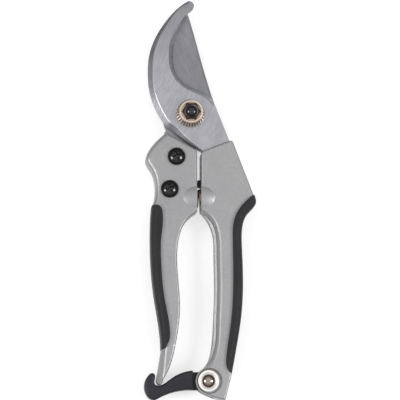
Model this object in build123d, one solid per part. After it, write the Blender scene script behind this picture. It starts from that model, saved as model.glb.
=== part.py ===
from build123d import *
import math
import os

# Bypass pruner, closed and latched, lying on its back.
# Millimetres. Z = 0 is the surface it rests on, +Z points up out of its front,
# +Y runs to the blade's tip, and the origin is on the pivot's axis.

# ---------------------------------------------------------------- driving dimensions

BACK = 1.5                 # back face of both castings
FRONT = 15.5               # front face of both castings
GRIP_BACK = 0.0            # the rubber grips stand proud of both faces
GRIP_FRONT = 17.0
BLADE_BACK = 5.75
BLADE_FRONT = 8.95
HOOK_BACK = 9.0
HOOK_FRONT = 13.0

LEFT_WALL = 3.3            # the straight walls that face each other across the gap
RIGHT_WALL = 5.3
WALL_END = -51.0

BOLT_R = 4.0
BOLT_HEAD_AF = 13.0
BOLT_HEAD_T = 4.5
RUNNING_FIT = 0.05         # radial clearance of every turning fit
BUSH_R = 5.5
NUT_R = 7.3
NUT_COLLAR_R = 6.1
NUT_TEETH = 30
NUT_TEETH_T = 4.0
NUT_ROOT_R = 5.6
NUT_SLOT = 0.72            # width of the gap between two teeth
NUT_T = 6.0
THREAD_R = 2.5             # the bolt's threaded end
THREAD_END = 19.6
CAP_R = 4.8                # the domed cap nut, over its corners
CAP_SEAT = 18.0
CAP_HEX_TOP = 20.2
CAP_TOP = 22.6
CAP_DOME_R = 4.0

SCREW_AT = [(-7.3, -22.8), (-10.75, -39.6)]
SCREW_R = 2.5
SCREW_HEAD_R = 4.5
SCREW_HEAD_T = 2.9
SCREW_DOME_R = 6.2
SCREW_END = 3.0            # the screws stop inside the casting's back wall

RIVET_AT = [(12.5, -24.5), (18.0, -32.5)]
RIVET_R = 2.2
RIVET_HEAD_R = 3.4
RIVET_HEAD_T = 1.4

SPRING_Y = -43.5
SPRING_Z = 8.5
SPRING_OD = 9.6
SPRING_WIRE = 1.5
SPRING_TURNS = 7.5
SPRING_FROM = -4.2
SPRING_TO = 12.8
POCKET_R = 5.3
STUD_R = 2.6
STUD_LENGTH = 4.0
SWELL_RISE = 1.2           # the swelling round the spring: its height over each face,
SWELL_R = 13.7             # its radius round the spring's direction, and the half length
SWELL_LENGTH = 20.0        # and half width of the egg shape that it belongs to
SWELL_WIDTH = 6.0

BUMPER_Y = (-37.6, -34.4)
BUMPER_Z = (5.0, 12.0)
BUMPER_DEPTH = 4.0
BUMPER_GAP = 0.2

RIB_BACK = 4.5             # the casting's rib inside each grip
RIB_FRONT = 12.5
RUBBER_T = 2.2             # rubber outside the rib
GRIP_FILLET = 3.2
NOSE_FILLET = 2.4
RIM_FILLET = 1.0
# Cuts along the castings' edges, as points of (depth, inset): the right one's palm side, and
# the outer side of the left one's tip.
PALM_FLANK = [(0, 3.6), (0.27, 2.8), (4.4, 1.4), (4.8, 0.3), (5.3, 0)]
TIP_FLANK = [(0, 4.3), (0.3, 3.6), (3.1, 0), (4.2, -1.4)]

SPINE_CHAMFER = 1.2
BEVEL = 5.0                # width of the blade's ground bevel, on its back
EDGE_LAND = 0.3            # thickness left at the cutting edge
# Cuts along the hook's outer and inner edges, in the same way.
HOOK_FLANK = [(0, 2.7), (0.12, 2.4), (1.9, 0), (2.65, -1.0)]
HOOK_GROUND = [(0, 2.3), (1.5, 0.55), (3.0, 0), (4.2, -0.3)]

LATCH_X = 9.1
LATCH_Y = -137.0
LATCH_RIVET_R = 2.4
LATCH_DOME_R = 4.5
LATCH_DOME_T = 1.8
LATCH_DOME_EDGE = 3.55
LATCH_BUSH_R = 3.2
LATCH_HUB_R = 4.8
LATCH_HUB_Z = (5.4, 11.4)
LATCH_ARM_Z = (3.4, 13.4)
LATCH_SWING = 75           # degrees
SLOT_Z = (5.2, 11.6)
SLOT_CLEARANCE = 0.35
BOSS_R = 6.5
RECESS_R = 5.8             # the recess for the cup washer, at its floor and at the face,
RECESS_MOUTH_R = 6.5       # and how far its centre is from the rivet's
RECESS_OFFSET = 0.45
RECESS_DEPTH = 1.6
CUP_R = 5.3
CUP_T = 0.8

# ---------------------------------------------------------------- helpers


def area(*curves):
    """A flat face bounded by curves that join end to end."""
    return Face(Wire([edge for curve in curves for edge in curve.edges()]))


def slab(face, low, high):
    """A flat face made thick from one height to another."""
    return extrude(Pos(0, 0, low) * face, high - low, dir=(0, 0, 1))


def rod(x, y, radius, low, high):
    """An upright cylinder."""
    return Pos(x, y, low) * Cylinder(radius, high - low, align=(Align.CENTER, Align.CENTER, Align.MIN))


def ring(x, y, outer, inner, low, high):
    """An upright tube."""
    return rod(x, y, outer, low, high) - rod(x, y, inner, low - 1, high + 1)


def block(x, y, z):
    """A box given by its low and high limits along each axis."""
    size = (x[1] - x[0], y[1] - y[0], z[1] - z[0])
    return Pos(x[0], y[0], z[0]) * Box(*size, align=(Align.MIN, Align.MIN, Align.MIN))


def edges_on(solid, height, *curves):
    """The solid's edges at one height that run along any of the plan curves."""
    found = ShapeList()
    for edge in solid.edges():
        ends = [edge @ 0, edge @ 0.5, edge @ 1]
        if any(abs(point.Z - height) > 0.01 for point in ends):
            continue
        middle = Vertex(ends[1].X, ends[1].Y, 0)
        if any(curve.distance_to(middle) < 0.02 for curve in curves):
            found.append(edge)
    return found


# ---------------------------------------------------------------- left handle

LEFT_HEAD = [(-12.9, -10.6), (LEFT_WALL, -19.2), (LEFT_WALL, WALL_END)]
LEFT_INNER = [(LEFT_WALL, WALL_END), (-2.6, -56.2), (-6.3, -66.5), (-6.4, -84.0),
              (-5.4, -101.0), (-7.6, -119.0), (-11.2, -131.6), (-13.9, -136.4)]
LEFT_TIP = (-17.1, -136.8)
LEFT_GRIP_END = (-14.6, -121.2)
LEFT_GRIP_START = (-19.6, -48.0)
LEFT_SEAM = [LEFT_GRIP_END, (-11.0, -117.0), (-10.6, -111.0), (-13.2, -96.0), (-15.0, -79.0),
             (-15.1, -65.0), (-14.3, -53.0), (-15.4, -48.9), LEFT_GRIP_START]
LEFT_NOSE = [LEFT_GRIP_START, (-17.9, -38.8), (-20.3, -29.4), (-22.9, -24.6), (-21.9, -20.6), (-12.9, -10.6)]
LEFT_GRIP_EDGE = [(-18.6, -40.0), (-19.9, -49.5), (-20.3, -57.0), (-20.2, -73.0), (-18.3, -94.0),
                  (-15.4, -112.0), (-14.8, -121.0), (-15.3, -128.0)]
LEFT_FLANK = [(-18.2, -141.5), (-15.7, -114.5)]
LEFT_CORE = -8.0           # a line inside the casting, and one beyond the grip
LEFT_FAR = -40.0


def left_curves():
    return {
        "head": FilletPolyline(*LEFT_HEAD, radius=1.4),
        "inner": Spline(*LEFT_INNER),
        "tip": ThreePointArc(LEFT_INNER[-1], (-15.8, -138.6), LEFT_TIP),
        "lower": Line(LEFT_TIP, LEFT_GRIP_END),
        "seam": Spline(*LEFT_SEAM),
        "nose": Spline(*LEFT_NOSE),
    }


def left_handle():
    c = left_curves()
    body = slab(area(*c.values()), BACK, FRONT)
    for height in (BACK, FRONT):
        body = fillet(edges_on(body, height, c["nose"]), NOSE_FILLET)
        body = fillet(edges_on(body, height, c["head"], c["inner"], c["tip"], c["lower"]), RIM_FILLET)
    body -= both_faces(Line(*LEFT_FLANK), TIP_FLANK)
    body += rib(LEFT_GRIP_EDGE, LEFT_SEAM, LEFT_CORE, LEFT_FAR)
    body += swelling() & block((-40, LEFT_WALL), (-70, -20), (-5, 25))
    body -= spring_pocket(SPRING_FROM, SPRING_FROM + STUD_LENGTH)
    body -= slab(blade_plan(), BLADE_BACK, BLADE_FRONT)
    for x, y in SCREW_AT:
        body -= rod(x, y, SCREW_R, SCREW_END, FRONT + 1)
    return body


def left_grip():
    return grip(LEFT_GRIP_EDGE, LEFT_SEAM, LEFT_CORE, LEFT_FAR)


# ---------------------------------------------------------------- right handle

RIGHT_HEAD = [(RIGHT_WALL, WALL_END), (RIGHT_WALL, -20.0), (21.3, -13.7), (32.2, -42.1)]
RIGHT_INNER = [(RIGHT_WALL, WALL_END), (8.6, -55.2), (11.3, -61.5), (12.1, -72.0), (12.4, -90.0),
               (11.8, -108.0), (10.7, -121.0), (8.6, -128.0), (5.2, -131.6)]
BOSS_SIDE = [RIGHT_INNER[-1], (3.4, -137.0), (5.4, -142.2)]
BOSS_FLOOR = [BOSS_SIDE[-1], (11.0, -145.0), (17.6, -146.6)]
RIGHT_GRIP_END = (20.9, -133.3)
RIGHT_GRIP_START = RIGHT_HEAD[-1]
RIGHT_SEAM = [RIGHT_GRIP_END, (18.2, -129.9), (18.0, -125.0), (20.2, -109.0), (21.5, -92.0),
              (21.4, -66.0), (23.0, -52.6), (27.4, -46.2), RIGHT_GRIP_START]
RIGHT_GRIP_EDGE = [(30.2, -37.0), (32.8, -42.2), (33.4, -46.4), (30.0, -50.6), (26.9, -56.5), (26.2, -68.0),
                   (26.7, -90.0), (25.7, -105.0), (23.0, -122.0), (20.9, -133.3), (19.9, -138.0)]
RIGHT_FLANK = [(3.2, -129.8), (7.8, -127.4), (10.7, -121.0), (11.8, -108.0), (12.4, -90.0), (12.1, -72.0),
               (11.3, -61.5), (8.5, -55.4), (4.4, -52.6)]
RIGHT_CORE = 16.0
RIGHT_FAR = 60.0


def right_curves():
    return {
        "head": FilletPolyline(*RIGHT_HEAD, radius=[2.2, 1.4]),
        "seam": Spline(*reversed(RIGHT_SEAM)),
        "lower": Line(RIGHT_GRIP_END, BOSS_FLOOR[-1]),
        "floor": Spline(*reversed(BOSS_FLOOR)),
        "boss": ThreePointArc(*reversed(BOSS_SIDE)),
        "inner": Spline(*reversed(RIGHT_INNER)),
    }


def latch_slot():
    """The room that the latch's hub and neck sweep inside the boss."""
    low, high = SLOT_Z
    reach = LATCH_HUB_R + SLOT_CLEARANCE
    room = rod(LATCH_X, LATCH_Y, reach, low, high)
    for turn in range(0, LATCH_SWING + 1, 15):
        room += Pos(LATCH_X, LATCH_Y, 0) * Rot(0, 0, turn) * block((-24, 0), (-reach, reach), (low, high))
    return room


def latch_recess():
    """The flared recess for a cup washer, below a face at height 0, a little off the rivet's centre."""
    flare = (RECESS_MOUTH_R - RECESS_R) / RECESS_DEPTH
    hollow = turned((0, -RECESS_DEPTH), (RECESS_R, -RECESS_DEPTH), (RECESS_MOUTH_R + flare, 1), (0, 1))
    return Pos(LATCH_X + RECESS_OFFSET, LATCH_Y, 0) * hollow


def right_handle():
    c = right_curves()
    body = slab(area(*c.values()), BACK, FRONT)
    rim = [curve for name, curve in c.items() if name != "seam"]
    for height in (BACK, FRONT):
        body = fillet(edges_on(body, height, *rim), RIM_FILLET)
    body -= both_faces(Spline(*RIGHT_FLANK), PALM_FLANK)
    body += rib(RIGHT_GRIP_EDGE, RIGHT_SEAM, RIGHT_CORE, RIGHT_FAR)
    body += rod(LATCH_X, LATCH_Y, BOSS_R, BACK, FRONT)
    body += swelling() & block((RIGHT_WALL, 50), (-70, -20), (-5, 25))
    body -= spring_pocket(SPRING_TO, SPRING_TO - STUD_LENGTH)
    body -= slab(hook_plan(), HOOK_BACK, HOOK_FRONT)
    for x, y in RIVET_AT:
        body -= rod(x, y, RIVET_R, BACK - 1, HOOK_BACK)
        body -= rod(x, y, RIVET_HEAD_R, BACK - 1, BACK + RIVET_HEAD_T)
    body -= block((RIGHT_WALL - 1, RIGHT_WALL + BUMPER_DEPTH), BUMPER_Y, BUMPER_Z)
    body -= latch_slot()
    body -= rod(LATCH_X, LATCH_Y, LATCH_RIVET_R, BACK - 1, FRONT + 1)
    recess = latch_recess()
    body -= Pos(0, 0, FRONT) * recess
    body -= Pos(0, 0, BACK) * mirror(recess, Plane.XY)
    return body


def right_grip():
    return grip(RIGHT_GRIP_EDGE, RIGHT_SEAM, RIGHT_CORE, RIGHT_FAR)


# ---------------------------------------------------------------- shared handle shapes


def grip_blank(edge, core, proud):
    """A handle's outer side as one band, from the grip's edge to a line inside the casting, in plan."""
    start, end = edge[0], edge[-1]
    plan = area(Spline(*edge), Polyline(end, (core, end[1]), (core, start[1]), start))
    return Pos(-proud, 0) * plan


def outside(seam, far):
    """The plan of everything on the outer side of the line where a grip meets its casting."""
    start, end = seam[0], seam[-1]
    return area(Spline(*seam), Polyline(end, (far, end[1]), (far, start[1]), start))


def rib(edge, seam, core, far):
    """The casting's rib inside a grip: the grip's own plan, less its rubber."""
    inward = math.copysign(RUBBER_T, far)
    return slab(grip_blank(edge, core, inward) & outside(seam, far), RIB_BACK, RIB_FRONT)


def grip(edge, seam, core, far):
    """A rubber grip, rounded outside, moulded over its rib."""
    body = slab(grip_blank(edge, core, 0), GRIP_BACK, GRIP_FRONT)
    for height in (GRIP_BACK, GRIP_FRONT):
        body = fillet(edges_on(body, height, Spline(*edge)), GRIP_FILLET)
    body &= slab(outside(seam, far), GRIP_BACK, GRIP_FRONT)
    return body - rib(edge, seam, core, far)


def both_faces(edge, profile):
    """The same cut along an edge of a casting's front and back faces."""
    return planed(Pos(0, 0, FRONT) * edge, profile, -1) + planed(Pos(0, 0, BACK) * edge, profile, 1)


def swelling():
    """The low egg-shaped swellings that both castings share over the spring, one on each face."""
    half = Ellipse(SWELL_LENGTH, SWELL_R) & Pos(0, SWELL_R / 2) * Rectangle(2 * SWELL_LENGTH, SWELL_R)
    egg = Pos(0, 0, FRONT + SWELL_RISE - SWELL_R) * revolve(half, Axis.X)
    front = egg & block((-SWELL_LENGTH, SWELL_LENGTH), (-SWELL_WIDTH, SWELL_WIDTH), (FRONT - 1, FRONT + 5))
    back = mirror(front, Plane.XY.offset((BACK + FRONT) / 2))
    return Pos((LEFT_WALL + RIGHT_WALL) / 2, SPRING_Y, 0) * (front + back)


def spring_pocket(bottom, stud_end):
    """The round pocket for one end of the spring, less the stud that centres it."""
    turn = Rot(0, 90, 0)
    middle = (LEFT_WALL + RIGHT_WALL) / 2
    low, high = sorted((bottom, middle))
    low_stud, high_stud = sorted((bottom, stud_end))
    pocket = Pos((low + high) / 2, SPRING_Y, SPRING_Z) * turn * Cylinder(POCKET_R, high - low)
    stud = Pos((low_stud + high_stud) / 2, SPRING_Y, SPRING_Z) * turn * Cylinder(STUD_R, high_stud - low_stud)
    return pocket - stud


# ---------------------------------------------------------------- blade and hook

BLADE_TIP = (-1.8, 55.3)
BLADE_SPINE = [BLADE_TIP, (1.6, 44.0), (6.1, 27.6), (10.1, 13.9), (13.2, 4.6)]
BLADE_SHOULDER = [BLADE_SPINE[-1], (14.0, -2.5), (10.6, -10.5), (4.5, -15.8), (1.2, -20.0)]
BLADE_TANG = [BLADE_SHOULDER[-1], (0.4, -25.0), (-2.2, -31.5), (-5.6, -36.0), (-6.3, -45.0),
              (-14.6, -45.0), (-14.0, -33.0), (-14.6, -20.0), (-13.4, -10.0)]
BLADE_EDGE = [(-12.4, -8.3), (-15.3, 3.0), (-16.0, 14.0), (-14.9, 26.0), (-11.4, 38.2), (-6.9, 48.7),
              BLADE_TIP]

HOOK_NOTCH = (-1.1, 53.0)
HOOK_CROWN = (-1.2, 59.1)
HOOK_HEEL = (-11.9, -6.9)
HOOK_TIP = [HOOK_NOTCH, (0.5, 54.2), (1.6, 55.6), (1.7, 57.2), (0.6, 58.6), HOOK_CROWN]
HOOK_BACKBONE = [HOOK_CROWN, (-5.4, 56.2), (-13.0, 47.9), (-18.6, 38.6), (-21.4, 29.5), (-21.9, 21.0),
                 (-21.2, 12.5), (-18.9, 4.7), (-14.6, -3.5), HOOK_HEEL]
HOOK_LOWER = [HOOK_HEEL, (-8.9, -8.9), (-6.0, -11.4), (2.3, -17.6), (6.8, -20.6)]
HOOK_TANG = [HOOK_LOWER[-1], (10.0, -25.0), (10.0, -36.5), (22.0, -36.5), (23.5, -26.0), (20.0, -14.1)]
HOOK_TOP = (12.0, 6.2)
HOOK_EDGE = [HOOK_TOP, (9.6, 9.4), (4.5, 12.2), (-1.0, 14.8), (-5.6, 18.6), (-8.4, 24.5), (-9.0, 30.0),
             (-8.5, 36.4), (-5.7, 44.4), HOOK_NOTCH]
HOOK_GRIND = [(15.5, 5.0), (12.1, 6.9), *HOOK_EDGE[1:-2], (-4.9, 43.9), (-1.9, 48.6), (1.8, 51.7)]
HOOK_SLOPE = [(6.0, -21.8), (1.6, -18.6), (-6.2, -11.7), (-8.9, -9.0), (-11.9, -6.9), (-14.6, -3.5),
              (-18.9, 4.7), (-21.2, 12.5), (-21.9, 21.0), (-21.6, 29.7), (-19.1, 39.0), (-13.9, 48.7),
              (-6.5, 57.8), (-1.9, 60.4)]


def blade_plan():
    return area(Spline(*BLADE_SPINE), Spline(*BLADE_SHOULDER), Polyline(*BLADE_TANG, BLADE_EDGE[0]),
                Spline(*BLADE_EDGE))


def cutting_blade():
    spine = Spline(*BLADE_SPINE)
    body = slab(blade_plan(), BLADE_BACK, BLADE_FRONT)
    body = chamfer(edges_on(body, BLADE_FRONT, spine), SPINE_CHAMFER)
    edge = (Pos(0, 0, BLADE_BACK) * Spline(*BLADE_EDGE)).trim(0.24, 1.0)
    body -= planed(edge, bevel(BEVEL, BLADE_FRONT - BLADE_BACK - EDGE_LAND), 1)
    body -= rod(0, 0, BUSH_R, BLADE_BACK - 1, BLADE_FRONT + 1)
    for x, y in SCREW_AT:
        body -= rod(x, y, SCREW_R, BLADE_BACK - 1, BLADE_FRONT + 1)
    return body


def hook_plan():
    return area(Spline(*HOOK_TIP), Spline(*HOOK_BACKBONE), Spline(*HOOK_LOWER),
                Polyline(*HOOK_TANG, HOOK_TOP), Spline(*HOOK_EDGE))


def hook():
    body = slab(hook_plan(), HOOK_BACK, HOOK_FRONT)
    body -= planed(Pos(0, 0, HOOK_FRONT) * Spline(*HOOK_SLOPE), HOOK_FLANK, -1)
    body -= planed(Pos(0, 0, HOOK_FRONT) * Spline(*reversed(HOOK_GRIND)), HOOK_GROUND, -1)
    body -= rod(0, 0, BOLT_R, HOOK_BACK - 1, HOOK_FRONT + 1)
    for x, y in RIVET_AT:
        body -= rod(x, y, RIVET_R, HOOK_BACK - 1, HOOK_FRONT + 1)
    return body


def bevel(width, depth):
    """The profile of a flat bevel, carried a little beyond the edge: points of (depth, inset)."""
    return [(0, width), (1.4 * depth, -0.4 * width)]


def planed(edge, profile, up):
    """What a plane takes off along an edge whose solid is on its right, cutting downwards if up is -1."""
    across = Plane(origin=edge @ 0, x_dir=(0, 0, 1), z_dir=edge % 0)
    beyond = min(inset for depth, inset in profile) - 1
    points = [(up * depth, inset) for depth, inset in profile]
    points += [(up * profile[-1][0], beyond), (-up, beyond), (-up, profile[0][1])]
    return sweep(across * area(Polyline(*points, close=True)), edge)


# ---------------------------------------------------------------- pivot


def turned(*points):
    """A solid turned about the Z axis from its half section, given as (radius, height)."""
    section = Plane.XZ * area(Polyline(*points, close=True))
    return revolve(section, Axis.Z)


def pivot_bolt():
    head = extrude(RegularPolygon(BOLT_HEAD_AF / 2, 6, major_radius=False), BOLT_HEAD_T)
    rounding = turned((0, 0), (6.4, 0), (7.6, 1.0), (7.6, 4.2), (7.3, BOLT_HEAD_T), (0, BOLT_HEAD_T))
    shank = rod(0, 0, BOLT_R, BOLT_HEAD_T, HOOK_FRONT)
    thread = rod(0, 0, THREAD_R, HOOK_FRONT, THREAD_END)
    return (head & rounding) + shank + thread


def pivot_washer():
    return ring(0, 0, 7.0, BOLT_R, BOLT_HEAD_T, BLADE_BACK - 0.05)


def pivot_bush():
    return ring(0, 0, BUSH_R, BOLT_R + RUNNING_FIT, BLADE_BACK, BLADE_FRONT)


def toothed_nut():
    base = HOOK_FRONT
    top = base + NUT_T
    rim = base + NUT_TEETH_T
    body = turned((THREAD_R, base), (NUT_R, base), (NUT_R, base + 0.8), (NUT_COLLAR_R + 0.2, rim - 0.2),
                  (NUT_COLLAR_R, rim), (NUT_COLLAR_R, top - 0.5), (NUT_COLLAR_R - 0.4, top),
                  (CAP_R + 0.3, top), (CAP_R + 0.1, top - 0.2), (CAP_R + 0.1, CAP_SEAT), (THREAD_R, CAP_SEAT))
    slot = block((NUT_ROOT_R, NUT_R + 1), (-NUT_SLOT / 2, NUT_SLOT / 2), (base - 1, rim - 0.2))
    return body - [Rot(0, 0, 360 * i / NUT_TEETH) * slot for i in range(NUT_TEETH)]


def cap_nut():
    hexagon = Pos(0, 0, CAP_SEAT) * extrude(RegularPolygon(CAP_R, 6), CAP_HEX_TOP - CAP_SEAT)
    shoulder = turned((0, CAP_SEAT), (CAP_R, CAP_SEAT), (CAP_R, CAP_HEX_TOP - 0.6),
                      (CAP_DOME_R, CAP_HEX_TOP), (0, CAP_HEX_TOP))
    dome = Pos(0, 0, CAP_TOP - CAP_DOME_R) * Sphere(CAP_DOME_R) & rod(0, 0, CAP_R, CAP_HEX_TOP, CAP_TOP)
    return (hexagon & shoulder) + dome - rod(0, 0, THREAD_R, CAP_SEAT - 1, THREAD_END)


# ---------------------------------------------------------------- fasteners


def cross_recess(top):
    """The tapered cross that a screwdriver fits."""
    arm = extrude(Rectangle(4.9, 1.25), -2.4, taper=9)
    return Pos(0, 0, top) * (arm + Rot(0, 0, 90) * arm)


def blade_screws():
    top = FRONT + SCREW_HEAD_T
    head = rod(0, 0, SCREW_HEAD_R, FRONT, top) & Pos(0, 0, top - SCREW_DOME_R) * Sphere(SCREW_DOME_R)
    screw = head + rod(0, 0, SCREW_R, SCREW_END, FRONT) - Rot(0, 0, 20) * cross_recess(top)
    return Compound([Pos(x, y, 0) * screw for x, y in SCREW_AT])


def hook_rivets():
    rivet = rod(0, 0, RIVET_R, BACK, HOOK_FRONT) + rod(0, 0, RIVET_HEAD_R, BACK, BACK + RIVET_HEAD_T)
    return Compound([Pos(x, y, 0) * rivet for x, y in RIVET_AT])


def latch_rivet():
    front = FRONT - RECESS_DEPTH + CUP_T
    back = BACK + RECESS_DEPTH - CUP_T
    shank = rod(0, 0, LATCH_RIVET_R, back, front)
    top = front + LATCH_DOME_T
    dome = Pos(0, 0, top - LATCH_DOME_R) * Sphere(LATCH_DOME_R) & rod(0, 0, LATCH_DOME_EDGE, front, top)
    tail = turned((0, back), (3.2, back), (2.9, back - 0.5), (2.0, back - 0.9), (0, back - 0.9))
    return Pos(LATCH_X, LATCH_Y, 0) * (shank + dome + tail)


def latch_cup(base, up):
    """A cup washer with a raised rim, seated at base and opening up or down."""
    half = [(LATCH_RIVET_R, 0), (CUP_R, 0), (CUP_R, CUP_T + 0.5), (CUP_R - 0.9, CUP_T + 0.5),
            (CUP_R - 1.7, CUP_T), (LATCH_RIVET_R, CUP_T)]
    return Pos(LATCH_X, LATCH_Y, 0) * turned(*[(r, base + up * h) for r, h in half])


def latch_bush():
    return ring(LATCH_X, LATCH_Y, LATCH_BUSH_R, LATCH_RIVET_R, *SLOT_Z)


# ---------------------------------------------------------------- latch

LATCH_TOP = [(1.2, -131.6), (-3.0, -132.4), (-7.5, -134.3), (-11.6, -137.2), (-14.2, -138.8), (-16.4, -139.2)]
LATCH_MOUTH = [LATCH_TOP[-1], (-18.0, -138.4), (-18.0, -136.6), (-17.7, -134.4)]
LATCH_LIP = [LATCH_MOUTH[-1], (-18.8, -133.1), (-20.6, -133.6)]
LATCH_OUTER = [LATCH_LIP[-1], (-22.7, -136.9), (-22.9, -141.6), (-20.6, -145.6), (-17.6, -146.6)]
LATCH_UNDER = [LATCH_OUTER[-1], (-14.8, -145.0), (-8.4, -142.5), (1.2, -141.4)]


def latch():
    low, high = LATCH_ARM_Z
    curves = [Spline(*LATCH_TOP), Spline(*LATCH_MOUTH), ThreePointArc(*LATCH_LIP), Spline(*LATCH_OUTER),
              Spline(*LATCH_UNDER)]
    arm = slab(area(*curves, Line(LATCH_UNDER[-1], LATCH_TOP[0])), low, high)
    for height in (low, high):
        arm = fillet(edges_on(arm, height, *curves), 1.2)
    neck = block((0, LATCH_X), (LATCH_Y - 4.4, LATCH_Y + 4.6), LATCH_HUB_Z)
    hub = rod(LATCH_X, LATCH_Y, LATCH_HUB_R, *LATCH_HUB_Z)
    return arm + neck + hub - rod(LATCH_X, LATCH_Y, LATCH_BUSH_R + RUNNING_FIT, low, high)


# ---------------------------------------------------------------- spring and bumper


def spring():
    radius = (SPRING_OD - SPRING_WIRE) / 2
    run = SPRING_TO - SPRING_FROM - SPRING_WIRE
    start = (SPRING_FROM + SPRING_WIRE / 2, SPRING_Y, SPRING_Z)
    coil = Helix(run / SPRING_TURNS, run, radius, center=start, direction=(1, 0, 0))
    wire = Plane(origin=coil @ 0, z_dir=coil % 0) * Circle(SPRING_WIRE / 2)
    return sweep(wire, coil, is_frenet=True)


def bumper():
    plug = block((RIGHT_WALL, RIGHT_WALL + BUMPER_DEPTH), BUMPER_Y, BUMPER_Z)
    head = block((LEFT_WALL + BUMPER_GAP, RIGHT_WALL), BUMPER_Y, BUMPER_Z)
    return plug + fillet(head.edges().filter_by(Axis.Z).group_by(Axis.X)[0], 0.8)


# ---------------------------------------------------------------- the assembly

os.makedirs("parts", exist_ok=True)
NODES = {
    "right_handle": right_handle,
    "right_grip": right_grip,
    "hook": hook,
    "hook_rivets": hook_rivets,
    "pivot_bolt": pivot_bolt,
    "pivot_washer": pivot_washer,
    "toothed_nut": toothed_nut,
    "cap_nut": cap_nut,
    "bumper": bumper,
    "latch_rivet": latch_rivet,
    "latch_front_cup": lambda: latch_cup(FRONT - RECESS_DEPTH, 1),
    "latch_back_cup": lambda: latch_cup(BACK + RECESS_DEPTH, -1),
    "latch_bush": latch_bush,
    "left_handle": left_handle,
    "left_grip": left_grip,
    "cutting_blade": cutting_blade,
    "pivot_bush": pivot_bush,
    "blade_screws": blade_screws,
    "spring": spring,
    "latch": latch,
}
for node, make in NODES.items():
    export_step(make(), f"parts/{node}.step")
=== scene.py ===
import math

import bmesh
import bpy
from mathutils import Matrix, Vector


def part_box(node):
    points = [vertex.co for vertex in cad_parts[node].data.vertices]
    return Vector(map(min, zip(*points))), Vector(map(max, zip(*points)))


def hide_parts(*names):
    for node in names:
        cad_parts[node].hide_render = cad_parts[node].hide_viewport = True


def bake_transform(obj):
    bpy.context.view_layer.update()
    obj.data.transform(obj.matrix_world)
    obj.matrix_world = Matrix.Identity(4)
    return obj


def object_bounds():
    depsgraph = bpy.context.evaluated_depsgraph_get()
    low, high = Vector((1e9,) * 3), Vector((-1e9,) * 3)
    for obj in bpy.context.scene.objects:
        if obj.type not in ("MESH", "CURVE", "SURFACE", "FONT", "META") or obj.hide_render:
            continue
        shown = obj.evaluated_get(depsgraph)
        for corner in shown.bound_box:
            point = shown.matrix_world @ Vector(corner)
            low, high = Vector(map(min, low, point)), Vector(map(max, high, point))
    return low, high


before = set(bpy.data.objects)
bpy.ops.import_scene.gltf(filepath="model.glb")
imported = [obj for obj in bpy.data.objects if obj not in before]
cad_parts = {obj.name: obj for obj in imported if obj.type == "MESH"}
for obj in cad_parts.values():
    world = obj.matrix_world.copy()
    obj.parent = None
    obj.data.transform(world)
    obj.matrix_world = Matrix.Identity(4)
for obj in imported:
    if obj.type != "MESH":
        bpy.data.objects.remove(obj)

MM = 0.001
cad_low, cad_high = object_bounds()


def centre_of(node):
    low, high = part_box(node)
    return (low + high) / 2


bolt_axis = centre_of("pivot_bolt")
rivet_axis = centre_of("latch_rivet")

# ---------------------------------------------------------------- node helpers


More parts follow.
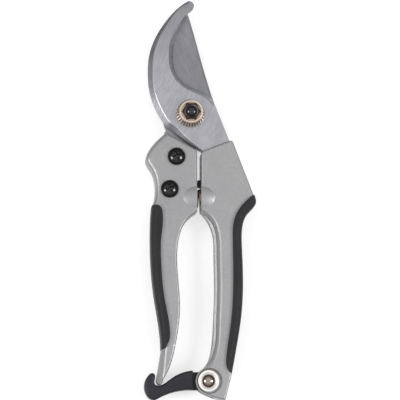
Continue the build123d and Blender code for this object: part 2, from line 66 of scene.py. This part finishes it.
class Shader:
    """A node material under construction: one Principled shader and the textures that feed it.

    The constants are named after the shader's sockets, with _ for each space.
    """

    def __init__(self, name, **constants):
        self.material = bpy.data.materials.new(name)
        self.material.use_nodes = True
        self.nodes = self.material.node_tree.nodes
        self.links = self.material.node_tree.links
        self.surface = self.nodes["Principled BSDF"]
        for socket, value in constants.items():
            self.surface.inputs[socket.replace("_", " ")].default_value = value
        self.place = self.nodes.new("ShaderNodeTexCoord").outputs["Object"]

    def stretched(self, scale, turn=0.0):
        """Object coordinates turned about Z, in radians, and then scaled along each axis."""
        mapping = self.nodes.new("ShaderNodeMapping")
        mapping.vector_type = "TEXTURE"
        mapping.inputs["Scale"].default_value = [1 / factor for factor in scale]
        mapping.inputs["Rotation"].default_value = (0, 0, turn)
        self.links.new(self.place, mapping.inputs["Vector"])
        return mapping.outputs["Vector"]

    def noise(self, scale, detail=3.0, roughness=0.55, vector=None):
        """Noise with about scale cells to the metre, from 0 to 1."""
        texture = self.nodes.new("ShaderNodeTexNoise")
        texture.inputs["Scale"].default_value = scale
        texture.inputs["Detail"].default_value = detail
        texture.inputs["Roughness"].default_value = roughness
        self.links.new(vector or self.place, texture.inputs["Vector"])
        return texture.outputs["Fac"]

    def ramp(self, value, *stops):
        """A colour ramp; each stop is (position, grey) or (position, (r, g, b))."""
        ramp = self.nodes.new("ShaderNodeValToRGB")
        elements = ramp.color_ramp.elements
        while len(elements) < len(stops):
            elements.new(0.5)
        for element, (position, colour) in zip(elements, stops):
            rgb = colour if isinstance(colour, tuple) else (colour,) * 3
            element.position = position
            element.color = (*rgb, 1)
        self.links.new(value, ramp.inputs["Fac"])
        return ramp.outputs["Color"]

    def mix(self, amount, first, second, blend="MIX"):
        """Mixes two colours; each value is a node's output, or else a number or an (r, g, b) colour."""
        node = self.nodes.new("ShaderNodeMix")
        node.data_type = "RGBA"
        node.blend_type = blend
        first_colour, second_colour, mixed_colour = node.inputs[6], node.inputs[7], node.outputs[2]
        sockets = (node.inputs["Factor"], first_colour, second_colour)
        for socket, value in zip(sockets, (amount, first, second)):
            if isinstance(value, bpy.types.NodeSocket):
                self.links.new(value, socket)
            else:
                socket.default_value = value if isinstance(value, float) else (*value, 1)
        return mixed_colour

    def maths(self, operation, *values):
        node = self.nodes.new("ShaderNodeMath")
        node.operation = operation
        for socket, value in zip(node.inputs, values):
            if isinstance(value, bpy.types.NodeSocket):
                self.links.new(value, socket)
            else:
                socket.default_value = value
        return node.outputs[0]

    def scaled(self, value, factor):
        return self.maths("MULTIPLY", value, float(factor))

    def offset_from(self, centre):
        """Object coordinates measured from an upright axis through centre."""
        shift = self.nodes.new("ShaderNodeVectorMath")
        shift.operation = "SUBTRACT"
        shift.inputs[1].default_value = (centre.x, centre.y, 0)
        self.links.new(self.place, shift.inputs[0])
        return shift.outputs[0]

    def distance_from(self, centre):
        """The distance from an upright axis through centre, in metres."""
        flat = self.nodes.new("ShaderNodeVectorMath")
        flat.operation = "MULTIPLY"
        flat.inputs[1].default_value = (1, 1, 0)
        self.links.new(self.offset_from(centre), flat.inputs[0])
        length = self.nodes.new("ShaderNodeVectorMath")
        length.operation = "LENGTH"
        self.links.new(flat.outputs[0], length.inputs[0])
        return length.outputs["Value"]

    def coordinate(self, axis):
        """The place along the X, Y or Z axis, in metres."""
        split = self.nodes.new("ShaderNodeSeparateXYZ")
        self.links.new(self.place, split.inputs[0])
        return split.outputs[axis]

    def angular_gap(self, count, share, soft=0.08):
        """1 in each of count gaps round the pivot, which take up that share of the circle, and 0 between."""
        angle = self.maths("ARCTAN2", self.coordinate("Y"), self.coordinate("X"))
        wave = self.maths("COSINE", self.scaled(angle, count))
        edge = 0.5 + math.cos(math.pi * share) / 2
        return self.ramp(self.maths("MULTIPLY_ADD", wave, 0.5, 0.5), (edge - soft, 0.0), (edge + soft, 1.0))

    def feed(self, socket, value):
        self.links.new(value, self.surface.inputs[socket])

    def bump(self, *layers):
        """Stacks bump layers, each (height, distance in metres, strength)."""
        normal = None
        for height, distance, strength in layers:
            node = self.nodes.new("ShaderNodeBump")
            node.inputs["Distance"].default_value = distance
            node.inputs["Strength"].default_value = strength
            self.links.new(height, node.inputs["Height"])
            if normal:
                self.links.new(normal, node.inputs["Normal"])
            normal = node.outputs["Normal"]
        self.feed("Normal", normal)


# ---------------------------------------------------------------- materials

NUT_TEETH = 30
TOOTH_GAP_SHARE = 0.42
TOOTH_ROOT = 6.05 * MM
CAP_RADIUS = 4.8 * MM
HOOK_SCRATCHES = -0.5                     # the angle from the Y axis, in radians
BLADE_SCRATCHES = 0.25
CROSS_SCRATCHES = 0.2                     # how far the broad scratches turn from the fine ones
HOOK_PAINTED_SHADE = (20 * MM, 60 * MM, 0.32)      # painted shade: the steel is painted darker towards the hook's tip


def cast_paint():
    """Satin silver paint over a die casting: metallic flake, fine orange peel, a slow change of tone."""
    s = Shader("cast_paint", Metallic=0.6, Roughness=0.42)
    cloud = s.ramp(s.noise(40, 4), (0.3, (0.352, 0.35, 0.36)), (0.7, (0.392, 0.39, 0.398)))
    flake = s.ramp(s.noise(1900, 2, 0.7), (0.3, 0.8), (0.7, 1.0))
    s.feed("Base Color", s.mix(1.0, cloud, flake, "MULTIPLY"))
    s.feed("Roughness", s.ramp(s.noise(700, 3), (0.3, 0.36), (0.7, 0.5)))
    s.bump((s.noise(2400, 3), 0.00003, 0.6), (s.noise(260, 2), 0.00008, 0.25))
    return s.material


def brushed(name, dark, light, rough, turn, painted_shade=None):
    """Ground steel: fine scratches, broader ones across them, a slow change of tone, and small stains.

    The last argument is (start, end, share): painted shade that darkens the steel by that share between two
    places along Y, in metres.
    """
    s = Shader(name, Metallic=0.92, Roughness=0.35)
    lines = s.noise(1, 3, 0.7, s.stretched((3200, 150, 900), turn))
    wide = s.noise(1, 3, 0.6, s.stretched((950, 180, 300), turn + CROSS_SCRATCHES))
    tone = s.noise(55, 4)
    steel = s.mix(s.ramp(lines, (0.25, 0.0), (0.8, 1.0)), dark, light)
    steel = s.mix(s.ramp(wide, (0.42, 0.0), (0.72, 0.5)), steel, dark)
    steel = s.mix(s.ramp(tone, (0.4, 0.0), (0.75, 0.35)), steel, dark)
    stain = (dark[0], dark[1] * 1.06, dark[2] * 0.98)
    steel = s.mix(s.ramp(s.noise(120, 5, 0.7), (0.5, 0.0), (0.7, 0.45)), steel, stain)
    # painted shade: the steel is painted darker along Y, between start and end
    if painted_shade:
        start, end, share = painted_shade
        along = s.maths("MULTIPLY_ADD", s.coordinate("Y"), 1 / (end - start), -start / (end - start))
        steel = s.mix(s.ramp(along, (0.0, 0.0), (1.0, share)), steel, (0.0, 0.0, 0.0))
    s.feed("Base Color", steel)
    s.feed("Roughness", s.ramp(s.mix(0.5, lines, tone), (0.3, rough - 0.07), (0.7, rough + 0.08)))
    s.bump((lines, 0.00002, 0.35))
    return s.material


def toothed_zinc(centre):
    """Yellow-passivated zinc with faint pink and green tints, and painted shade in the gaps between the
    teeth.
    """
    s = Shader("yellow_zinc_plate", Metallic=0.8, Roughness=0.34)
    pink, pale, green = (0.64, 0.51, 0.41), (0.73, 0.61, 0.5), (0.64, 0.57, 0.48)
    plate = s.ramp(s.noise(420, 3), (0.3, pink), (0.5, pale), (0.7, green))
    # painted shade: a near-black colour for the gaps between the teeth, where shade falls
    groove_shade = (0.03, 0.015, 0.01)
    gap = s.angular_gap(NUT_TEETH, TOOTH_GAP_SHARE)
    root = 0.5
    radius = s.scaled(s.distance_from(centre), root / TOOTH_ROOT)
    outside = s.ramp(radius, (root - 0.008, 0.0), (root + 0.008, 1.0))
    # the gaps between the teeth, outside the tooth root, take the painted shade colour
    s.feed("Base Color", s.mix(s.maths("MULTIPLY", gap, outside), plate, groove_shade))
    s.feed("Roughness", s.ramp(s.noise(1500, 2), (0.3, 0.28), (0.7, 0.42)))
    s.bump((s.noise(3200, 2), 0.00002, 0.35))
    return s.material


def oiled_oxide(name):
    """Black oxide under a thin oily lacquer, as a shader that still needs its colour."""
    s = Shader(name, Roughness=0.2, Specular_IOR_Level=0.3, Coat_Weight=0.6, Coat_Roughness=0.04)
    s.feed("Roughness", s.ramp(s.noise(1800, 2), (0.3, 0.18), (0.7, 0.34)))
    s.bump((s.noise(1500, 2), 0.00001, 0.3))
    return s


def screw_oxide():
    """Black oxide with a faint mottle."""
    s = oiled_oxide("screw_black_oxide")
    s.feed("Base Color", s.ramp(s.noise(700, 3), (0.3, 0.003), (0.7, 0.008)))
    return s.material


def cap_oxide(centre):
    """Black oxide with a blue tint on the dome, and a painted reflection of the gold nut, in brown, towards
    the corners.
    """
    s = oiled_oxide("cap_black_oxide")
    blue, black, painted_gold_reflection = (0.004, 0.006, 0.016), (0.01, 0.007, 0.009), (0.035, 0.014, 0.008)
    radius = s.scaled(s.distance_from(centre), 1 / CAP_RADIUS)
    # painted reflection: the colour turns brown towards the corners, where the gold nut is mirrored
    s.feed("Base Color", s.ramp(radius, (0.1, blue), (0.55, black), (0.9, painted_gold_reflection)))
    return s.material


def soft_rubber(name, grey, rough):
    """Moulded soft rubber with a fine stipple and a faint dusty sheen."""
    s = Shader(name, Roughness=rough, Specular_IOR_Level=0.3, Sheen_Weight=0.05, Sheen_Roughness=0.5)
    low = (grey * 0.85, grey * 0.82, grey * 0.98)
    high = (grey * 1.25, grey * 1.15, grey * 1.5)
    s.feed("Base Color", s.ramp(s.noise(60, 4), (0.3, low), (0.7, high)))
    s.feed("Roughness", s.ramp(s.noise(900, 3), (0.3, rough - 0.07), (0.7, rough + 0.1)))
    s.bump((s.noise(3000, 2), 0.00006, 0.5), (s.noise(150, 2), 0.0001, 0.2))
    return s.material


def moulded_plastic():
    """Black glass-filled nylon with a spark-eroded mould texture."""
    s = Shader("latch_nylon", Roughness=0.45, Specular_IOR_Level=0.35)
    s.feed("Base Color", s.ramp(s.noise(90, 4), (0.3, (0.009, 0.008, 0.012)), (0.7, (0.017, 0.016, 0.024))))
    s.feed("Roughness", s.ramp(s.noise(1200, 3), (0.3, 0.38), (0.7, 0.55)))
    s.bump((s.noise(2200, 3), 0.00005, 0.5))
    return s.material


def turned_metal(name, dark, light, rough, centre, metallic=1.0):
    """Turned metal: fine rings about an upright axis through centre."""
    s = Shader(name, Metallic=metallic, Roughness=rough)
    wave = s.nodes.new("ShaderNodeTexWave")
    wave.wave_type = "RINGS"
    wave.rings_direction = "Z"
    wave.inputs["Scale"].default_value = 900
    wave.inputs["Distortion"].default_value = 0.6
    s.links.new(s.offset_from(centre), wave.inputs["Vector"])
    s.feed("Base Color", s.ramp(s.noise(300, 3), (0.3, dark), (0.7, light)))
    s.feed("Roughness", s.ramp(s.noise(1400, 2), (0.3, max(rough - 0.05, 0.04)), (0.7, rough + 0.07)))
    s.bump((wave.outputs["Fac"], 0.00001, 0.15))
    return s.material


def plain_metal(name, dark, light, rough, metallic=1.0):
    """Drawn or plated metal with a slow tint and fine grain."""
    s = Shader(name, Metallic=metallic, Roughness=rough)
    s.feed("Base Color", s.ramp(s.noise(260, 4), (0.3, dark), (0.7, light)))
    s.feed("Roughness", s.ramp(s.noise(1600, 3), (0.3, rough - 0.06), (0.7, rough + 0.1)))
    s.bump((s.noise(2600, 2), 0.00002, 0.3))
    return s.material


finishes = {
    "cast": cast_paint(),
    "grip": soft_rubber("grip_rubber_skin", 0.013, 0.58),
    "bumper": soft_rubber("bumper_rubber_skin", 0.012, 0.6),
    "hook": brushed("hook_ground_steel", (0.31, 0.31, 0.335), (0.54, 0.54, 0.58), 0.36,
                    HOOK_SCRATCHES, HOOK_PAINTED_SHADE),
    "blade": brushed("blade_ground_steel", (0.19, 0.19, 0.205), (0.36, 0.36, 0.382), 0.38,
                     BLADE_SCRATCHES),
    "zinc": toothed_zinc(bolt_axis),
    "cap": cap_oxide(bolt_axis),
    "screw": screw_oxide(),
    "latch": moulded_plastic(),
    "rivet": turned_metal("rivet_steel", (0.3, 0.235, 0.2), (0.46, 0.38, 0.33), 0.13, rivet_axis),
    "cup": turned_metal("cup_washer_steel", (0.74, 0.725, 0.71), (0.88, 0.865, 0.85), 0.48, rivet_axis, 0.6),
    "bolt": turned_metal("bolt_steel", (0.34, 0.34, 0.34), (0.44, 0.44, 0.44), 0.3, bolt_axis),
    "bronze": plain_metal("bush_bronze_metal", (0.36, 0.24, 0.1), (0.48, 0.34, 0.17), 0.35),
    "spring": plain_metal("spring_wire_steel", (0.34, 0.27, 0.21), (0.6, 0.5, 0.4), 0.32, 0.75),
}
node_finish = {
    "left_handle": "cast", "right_handle": "cast", "left_grip": "grip", "right_grip": "grip",
    "hook": "hook", "cutting_blade": "blade", "toothed_nut": "zinc", "cap_nut": "cap",
    "blade_screws": "screw", "latch": "latch", "latch_rivet": "rivet", "latch_front_cup": "cup",
    "latch_back_cup": "cup", "latch_bush": "bronze", "pivot_bush": "bronze", "hook_rivets": "bolt",
    "pivot_bolt": "bolt", "pivot_washer": "bolt", "bumper": "bumper", "spring": "spring",
}
for node, finish in node_finish.items():
    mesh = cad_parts[node].data
    mesh.materials.clear()
    mesh.materials.append(finishes[finish])

# ---------------------------------------------------------------- spring


def helix_tube(name, start, finish, radius, wire, turns, steps=28, around=12):
    """A coil spring wound about the line from start to finish, as one closed tube."""
    axis = (finish - start).normalized()
    side = axis.orthogonal().normalized()
    other = axis.cross(side)
    count = int(turns * steps)
    rings = []
    for i in range(count + 1):
        angle = 2 * math.pi * i / steps
        out = side * math.cos(angle) + other * math.sin(angle)
        centre = start.lerp(finish, i / count) + out * radius
        rings.append([centre + (out * math.cos(a) + axis * math.sin(a)) * wire / 2
                      for a in (2 * math.pi * k / around for k in range(around))])
    built = bmesh.new()
    loops = [[built.verts.new(point) for point in ring] for ring in rings]
    for first, second in zip(loops, loops[1:]):
        for k in range(around):
            face = built.faces.new((first[k], second[k], second[(k + 1) % around], first[(k + 1) % around]))
            face.smooth = True
    built.faces.new(loops[0][::-1])
    built.faces.new(loops[-1])
    bmesh.ops.recalc_face_normals(built, faces=built.faces)
    mesh = bpy.data.meshes.new(name)
    built.to_mesh(mesh)
    built.free()
    tube = bpy.data.objects.new(name, mesh)
    bpy.context.scene.collection.objects.link(tube)
    return tube


SPRING_WIRE = 1.5 * MM
SPRING_TURNS = 7.5
spring_low, spring_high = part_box("spring")
coil_y = (spring_low.y + spring_high.y) / 2
coil_z = (spring_low.z + spring_high.z) / 2
coil_left = Vector((spring_low.x + SPRING_WIRE / 2, coil_y, coil_z))
coil_right = Vector((spring_high.x - SPRING_WIRE / 2, coil_y, coil_z))
coil_radius = (spring_high.y - spring_low.y - SPRING_WIRE) / 2
coil = helix_tube("spring_coil", coil_left, coil_right, coil_radius, SPRING_WIRE, SPRING_TURNS)
coil.data.materials.append(finishes["spring"])
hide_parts("spring")
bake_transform(coil)

# ---------------------------------------------------------------- floor, light, camera

FLOOR_SIZE = 3.0
FLOOR_GAP = 0.05 * MM                     # how far the floor lies under the tool
FLOOR_GLOW = 0.62                         # the paper's own light, which whitens it
SOFTBOX_SIDE = 0.22
SOFTBOXES = {                             # each one's place and watts
    "left_softbox": (Vector((-0.6, -0.17, 0.6)), 3.1),
    "right_softbox": (Vector((0.6, -0.15, 0.62)), 2.9),
}
WALL_TOP, CEILING_EDGE = 0.4, 0.95        # heights as the sine of the elevation
WALL_TONE = 0.1
CEILING_STRENGTH = 1.05


def softbox(name, place, aim, watts):
    """A square area light that faces aim."""
    data = bpy.data.lights.new(name, "AREA")
    data.shape = "SQUARE"
    data.size = SOFTBOX_SIDE
    data.energy = watts
    light = bpy.data.objects.new(name, data)
    light.location = place
    light.rotation_euler = (aim - place).to_track_quat("-Z", "Y").to_euler()
    bpy.context.scene.collection.objects.link(light)


def floor():
    """White paper just under the tool."""
    mesh = bpy.data.meshes.new("floor")
    half = FLOOR_SIZE / 2
    corners = [(-half, -half, 0), (half, -half, 0), (half, half, 0), (-half, half, 0)]
    mesh.from_pydata(corners, [], [(0, 1, 2, 3)])
    slab = bpy.data.objects.new("floor", mesh)
    slab.location.z = cad_low[2] - FLOOR_GAP
    s = Shader("floor_paper", Roughness=0.85, Emission_Color=(1, 1, 1, 1), Emission_Strength=FLOOR_GLOW)
    s.feed("Base Color", s.ramp(s.noise(14, 3), (0.3, 0.46), (0.7, 0.5)))
    mesh.materials.append(s.material)
    bpy.context.scene.collection.objects.link(slab)


def studio_world():
    """A white ceiling that falls away to dim walls, as in a small studio."""
    world = bpy.data.worlds.new("studio")
    world.use_nodes = True
    nodes, links = world.node_tree.nodes, world.node_tree.links
    direction = nodes.new("ShaderNodeTexCoord").outputs["Generated"]
    split = nodes.new("ShaderNodeSeparateXYZ")
    ramp = nodes.new("ShaderNodeValToRGB")
    links.new(direction, split.inputs[0])
    links.new(split.outputs["Z"], ramp.inputs["Fac"])
    wall, ceiling = ramp.color_ramp.elements
    wall.position = WALL_TOP
    wall.color = (WALL_TONE, WALL_TONE, WALL_TONE, 1)
    ceiling.position = CEILING_EDGE
    ceiling.color = (1, 1, 1, 1)
    links.new(ramp.outputs["Color"], nodes["Background"].inputs["Color"])
    nodes["Background"].inputs["Strength"].default_value = CEILING_STRENGTH
    bpy.context.scene.world = world


floor()
middle = (Vector(cad_low) + Vector(cad_high)) / 2
for name, (place, watts) in SOFTBOXES.items():
    softbox(name, place, middle, watts)
studio_world()
bpy.context.scene.view_settings.view_transform = "Standard"

CAMERA_DISTANCE = 1.1
FROM_LEFT = math.radians(4)
FROM_HANDLES = math.radians(8)
VIEW_CENTRE = Vector((0.0049, -0.0447, 0.0125))
FRAME_WIDTH = 0.2042                      # how much of the object's plane the view spans
SENSOR_WIDTH = 36

camera_data = bpy.data.cameras.new("camera")
camera = bpy.data.objects.new("camera", camera_data)
back = Vector((-math.tan(FROM_LEFT), -math.tan(FROM_HANDLES), 1)).normalized()
across = Vector((0, 1, 0)).cross(back).normalized()
camera.matrix_world = Matrix((across, back.cross(across), back)).transposed().to_4x4()
camera.location = VIEW_CENTRE + back * CAMERA_DISTANCE
camera_data.sensor_width = SENSOR_WIDTH
camera_data.lens = SENSOR_WIDTH * CAMERA_DISTANCE / FRAME_WIDTH
bpy.context.scene.collection.objects.link(camera)
bpy.context.scene.camera = camera
